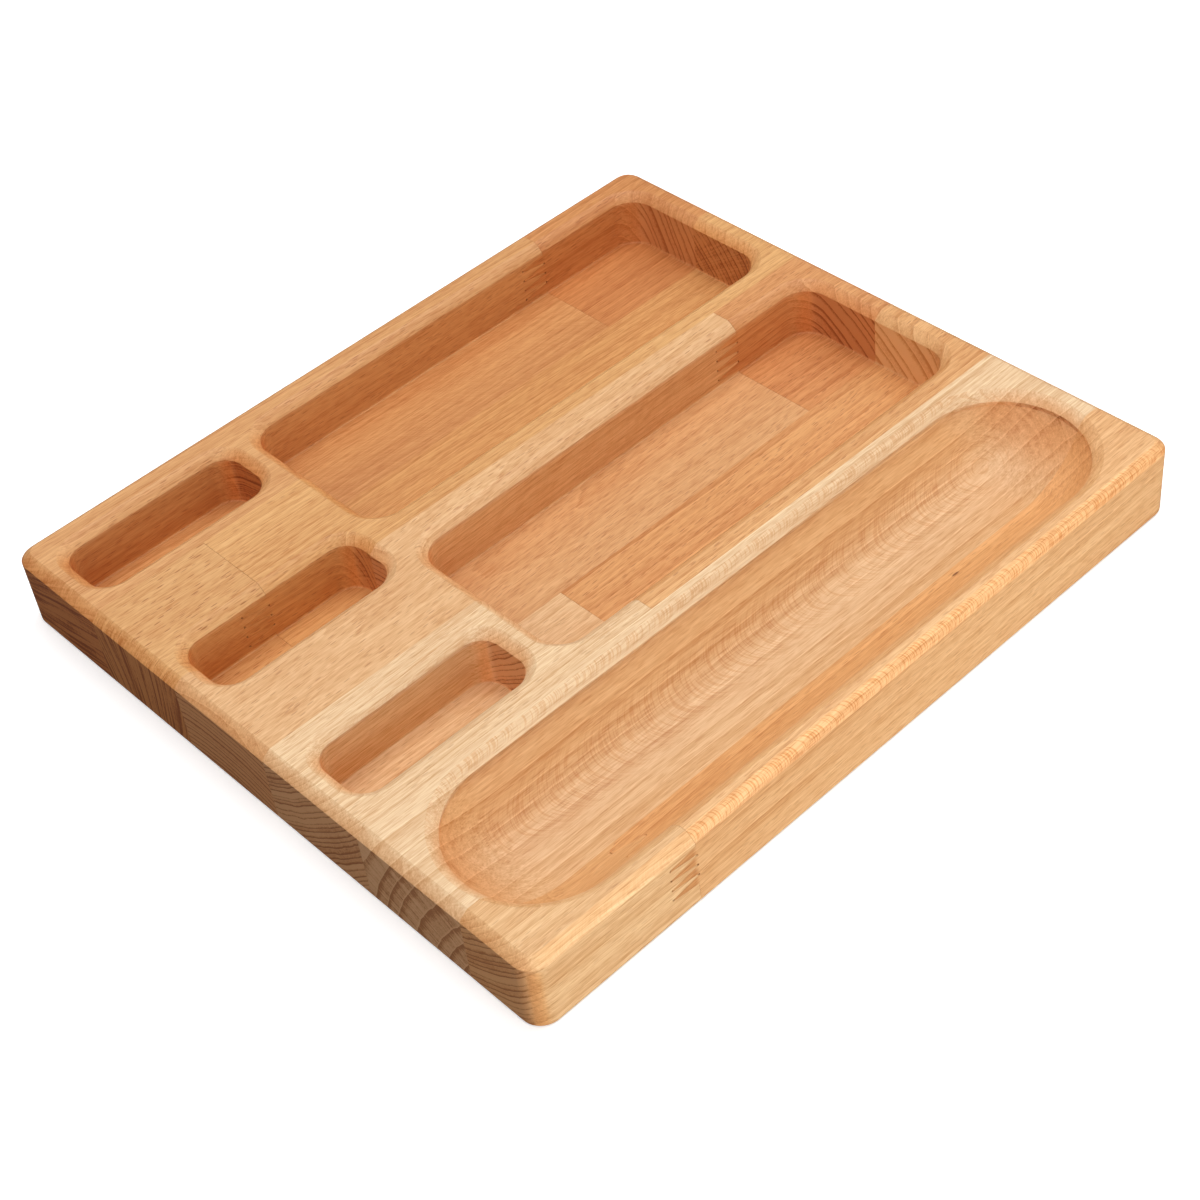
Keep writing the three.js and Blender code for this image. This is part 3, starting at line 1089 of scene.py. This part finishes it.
# %% [markdown]
# ## Floor
#
# The tray stands on a plain white floor. To keep the paper white without pouring light
# on the wood, the floor is white to the camera and a mid grey to the light that bounces
# off it, and its edge fades out into the white behind it.

# %% Lay the floor
FLOOR_RADIUS = 1.2
FLOOR_POINTS = 96
FADE_FROM = 0.5
BELOW = 0.1 * MM
TO_LIGHT = (0.15, 0.15, 0.15, 1.0)
TO_CAMERA = (1.0, 1.0, 1.0, 1.0)
GLOW = 0.4

bpy.ops.object.select_all(action="DESELECT")
bpy.ops.mesh.primitive_circle_add(
    vertices=FLOOR_POINTS, radius=FLOOR_RADIUS, fill_type="NGON", location=(0, 0, -BELOW)
)
bpy.ops.object.transform_apply(location=True, rotation=True, scale=True)
floor = bpy.context.object
floor.name = "studio_floor"
floor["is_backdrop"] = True

paper = bpy.data.materials.new("studio_paper")
paper.use_nodes = True
tree = paper.node_tree
shader = tree.nodes["Principled BSDF"]
shader.inputs["Roughness"].default_value = 1.0
shader.inputs["Specular IOR Level"].default_value = 0.0
seen = node(tree, "LightPath").outputs["Is Camera Ray"]
tree.links.new(blend(tree, seen, TO_LIGHT, TO_CAMERA), shader.inputs["Base Color"])
tree.links.new(times(tree, seen, GLOW), shader.inputs["Emission Strength"])
shader.inputs["Emission Color"].default_value = TO_CAMERA
spread = vector_calc(tree, "LENGTH", node(tree, "TexCoord").outputs["Object"])
clear = node(tree, "BsdfTransparent").outputs[0]
edge = node(tree, "MixShader", {0: fade(tree, spread, FADE_FROM, FLOOR_RADIUS), 2: clear})
tree.links.new(shader.outputs[0], edge.inputs[1])
tree.links.new(edge.outputs[0], tree.nodes["Material Output"].inputs["Surface"])
floor.data.materials.append(paper)
print("floor radius", FLOOR_RADIUS, "m")

# %% [markdown]
# ## Light
#
# A soft box right overhead lights the tops and the floors of the hollows, and leaves
# the walls in their own soft shade, where they glow orange from the wood opposite. A box
# behind gives the tops a faint sheen, and weaker ones stand on the other sides. A low
# strip on the right lights the long side, and lies under the rim, so it doesn't reach
# into the hollows. The room itself gives a very weak even fill.

# %% Hang the lights
FILL = 0.02


def soft_light(name, place, aim, width, height, power):
    bpy.ops.object.select_all(action="DESELECT")
    place, aim = Vector(place), Vector(aim)
    turned = (place - aim).to_track_quat("Z", "Y").to_euler()
    bpy.ops.object.light_add(type="AREA", location=place, rotation=turned)
    lamp = bpy.context.object
    lamp.name = name
    lamp.data.shape = "RECTANGLE"
    lamp.data.size = width
    lamp.data.size_y = height
    lamp.data.energy = power
    lamp.visible_camera = False


soft_light("overhead_box", (0.0, 0.0, 1.4), (0, 0, 0), 0.9, 0.9, 9.1)
soft_light("back_box", (0.0, 0.8, 1.1), (0, 0, 0), 1.2, 1.2, 8.1)
soft_light("left_box", (-1.1, 0.0, 0.9), (0, 0, 0), 1.0, 1.0, 3.8)
soft_light("front_box", (0.25, -1.1, 0.85), (0, 0, 0), 1.0, 1.0, 5.2)
soft_light("right_box", (1.3, 0.0, 0.42), (0, 0, 0), 0.8, 0.6, 4.6)
soft_light("side_strip", (0.5, 0.02, 0.012), (0, 0.02, 0.012), 0.8, 0.03, 1.5)

world = bpy.data.worlds.new("studio_room")
bpy.context.scene.world = world
world.use_nodes = True
tree = world.node_tree
shown = node(tree, "LightPath").outputs["Is Camera Ray"]
room = tree.nodes["Background"]
tree.links.new(weigh(tree, shown, 1.0 - FILL, FILL), room.inputs["Strength"])
room.inputs["Color"].default_value = (1.0, 1.0, 1.0, 1.0)
bpy.context.scene.view_settings.view_transform = "Standard"

# %% [markdown]
# ## Measure and finish
#
# The box of the finished blocks is set beside the box of the construction model, and
# its size is printed.

# %% Set the sizes side by side
new_low, new_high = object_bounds()
sizes = {
    "cad": [list(cad_low), list(cad_high)],
    "visual": [list(new_low), list(new_high)],
}
print("size in mm:", [round(side / MM, 2) for side in new_high - new_low])
